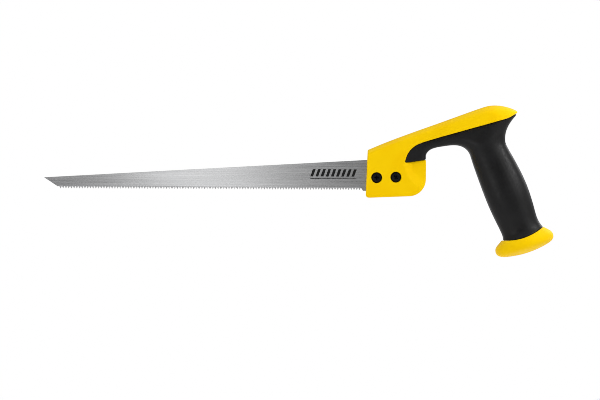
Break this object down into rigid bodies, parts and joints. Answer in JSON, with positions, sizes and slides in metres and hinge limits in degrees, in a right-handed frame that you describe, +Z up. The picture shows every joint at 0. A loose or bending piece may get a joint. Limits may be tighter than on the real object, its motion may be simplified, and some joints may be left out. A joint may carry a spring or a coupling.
{
  "type": "drywall saw",
  "caption": "Plasterboard hand saw: tapered toothed blade clamped by screws in the nose of a pistol-grip handle with rubber grip and flared pommel.",
  "frame": {"origin": "where the tooth line, drawn on into the handle, meets the axis of the grip, in the plane of the blade", "axes": "+X along the tooth line from the blade's point towards the handle, +Z up with the teeth down, +Y across the blade away from the screw heads"},
  "size_m": [0.4765, 0.041, 0.1417],
  "materials": {
    "blade_steel": "brushed lengthwise",
    "yellow_plastic": "satin moulded",
    "black_rubber": "fine matt",
    "black_steel": "black oxide",
    "zinc_steel": "zinc plated"
  },
  "bodies": {
    "handle": {"handle_core": "yellow_plastic", "grip_overmould": "black_rubber", "pommel_cap": "yellow_plastic", "front_clamp_nut": "zinc_steel", "rear_clamp_nut": "zinc_steel"},
    "blade": {"blade": "blade_steel"},
    "front_washer": {"front_lock_washer": "black_steel"},
    "front_screw": {"front_clamp_screw": "black_steel"},
    "rear_washer": {"rear_lock_washer": "black_steel"},
    "rear_screw": {"rear_clamp_screw": "black_steel"}
  },
  "joints": [
    {"name": "blade_slide", "type": "slide", "parent": "handle", "child": "blade", "axis": [-0.9996, 0, -0.0298], "range_m": [0, 0.06]},
    {"name": "front_back_out", "type": "slide", "parent": "handle", "child": "front_washer", "axis": [0, -1, 0], "range_m": [0, 0.004]},
    {"name": "front_turn", "type": "hinge", "parent": "front_washer", "child": "front_screw", "pos_m": [-0.1205, 0, 0.0118], "axis": [0, -1, 0], "range_deg": [0, 1800]},
    {"name": "rear_back_out", "type": "slide", "parent": "handle", "child": "rear_washer", "axis": [0, -1, 0], "range_m": [0, 0.004]},
    {"name": "rear_turn", "type": "hinge", "parent": "rear_washer", "child": "rear_screw", "pos_m": [-0.10251, 0, 0.01234], "axis": [0, -1, 0], "range_deg": [0, 1800]}
  ],
  "couplings": [
    {"joint": "front_turn", "follows": "front_back_out", "rad_per_m": 7853.9},
    {"joint": "rear_turn", "follows": "rear_back_out", "rad_per_m": 7853.9}
  ]
}
